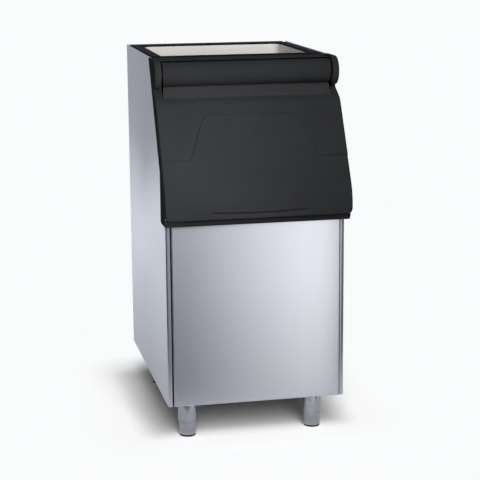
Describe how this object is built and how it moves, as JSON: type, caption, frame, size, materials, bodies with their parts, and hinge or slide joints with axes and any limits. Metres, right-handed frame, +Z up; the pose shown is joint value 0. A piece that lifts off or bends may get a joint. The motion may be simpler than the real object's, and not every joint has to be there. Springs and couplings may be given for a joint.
{
  "type": "ice storage bin",
  "caption": "Stainless steel ice storage bin with an open top for an ice maker, a black lift-up hood door, a white liner and adjustable legs.",
  "frame": {"origin": "on the floor under the middle of the bin's bounding box", "axes": "+Z up, -Y out of the front with the door, +X to the right for someone who faces the front"},
  "size_m": [0.56, 0.8156, 1.153],
  "materials": {
    "brushed_steel": "vertical fine brushing",
    "galvanised_steel": "dull zinc coat",
    "polished_steel": "smooth satin",
    "black_plastic": "fine moulded grain",
    "white_plastic": "semi-gloss",
    "insulation_foam": "rigid foam",
    "rubber": "matte",
    "nylon": "smooth"
  },
  "bodies": {
    "cabinet": {"side_sheet_left": "brushed_steel", "side_sheet_right": "brushed_steel", "front_panel": "brushed_steel", "back_panel": "galvanised_steel", "base_pan": "galvanised_steel", "back_screw_left_1": "galvanised_steel", "back_screw_left_2": "galvanised_steel", "back_screw_left_3": "galvanised_steel", "back_screw_right_1": "galvanised_steel", "back_screw_right_2": "galvanised_steel", "back_screw_right_3": "galvanised_steel", "leg_plate_front_left": "galvanised_steel", "leg_plate_front_right": "galvanised_steel", "leg_plate_rear_left": "galvanised_steel", "leg_plate_rear_right": "galvanised_steel", "hinge_pin_left": "polished_steel", "hinge_pin_right": "polished_steel", "drain_strainer": "polished_steel", "leg_tube_front_left": "polished_steel", "leg_tube_front_right": "polished_steel", "leg_tube_rear_left": "polished_steel", "leg_tube_rear_right": "polished_steel", "cheek_left": "black_plastic", "cheek_right": "black_plastic", "sill_bar": "black_plastic", "hood_bar": "black_plastic", "top_rim": "black_plastic", "liner": "white_plastic", "drain_outlet": "white_plastic", "foam_left": "insulation_foam", "foam_right": "insulation_foam", "foam_front": "insulation_foam", "foam_back": "insulation_foam", "foam_floor": "insulation_foam", "rim_tape": "rubber", "drain_nut": "nylon"},
    "door": {"door_outer_shell": "black_plastic", "door_core": "insulation_foam", "door_back_panel": "white_plastic", "door_gasket": "rubber", "door_hinge_barrel": "black_plastic", "door_bearing_left": "nylon", "door_bearing_right": "nylon"},
    "foot_body_front_left": {"foot_front_left": "polished_steel", "foot_pad_front_left": "rubber"},
    "foot_body_front_right": {"foot_front_right": "polished_steel", "foot_pad_front_right": "rubber"},
    "foot_body_rear_left": {"foot_rear_left": "polished_steel", "foot_pad_rear_left": "rubber"},
    "foot_body_rear_right": {"foot_rear_right": "polished_steel", "foot_pad_rear_right": "rubber"}
  },
  "joints": [
    {"name": "door_hinge", "type": "hinge", "parent": "cabinet", "child": "door", "pos_m": [0, -0.21075, 1.1095], "axis": [-1, 0, 0], "range_deg": [0, 155]},
    {"name": "foot_screw_front_left", "type": "slide", "parent": "cabinet", "child": "foot_body_front_left", "axis": [0, 0, -1], "range_m": [0, 0.038]},
    {"name": "foot_screw_front_right", "type": "slide", "parent": "cabinet", "child": "foot_body_front_right", "axis": [0, 0, -1], "range_m": [0, 0.038]},
    {"name": "foot_screw_rear_left", "type": "slide", "parent": "cabinet", "child": "foot_body_rear_left", "axis": [0, 0, -1], "range_m": [0, 0.038]},
    {"name": "foot_screw_rear_right", "type": "slide", "parent": "cabinet", "child": "foot_body_rear_right", "axis": [0, 0, -1], "range_m": [0, 0.038]}
  ]
}
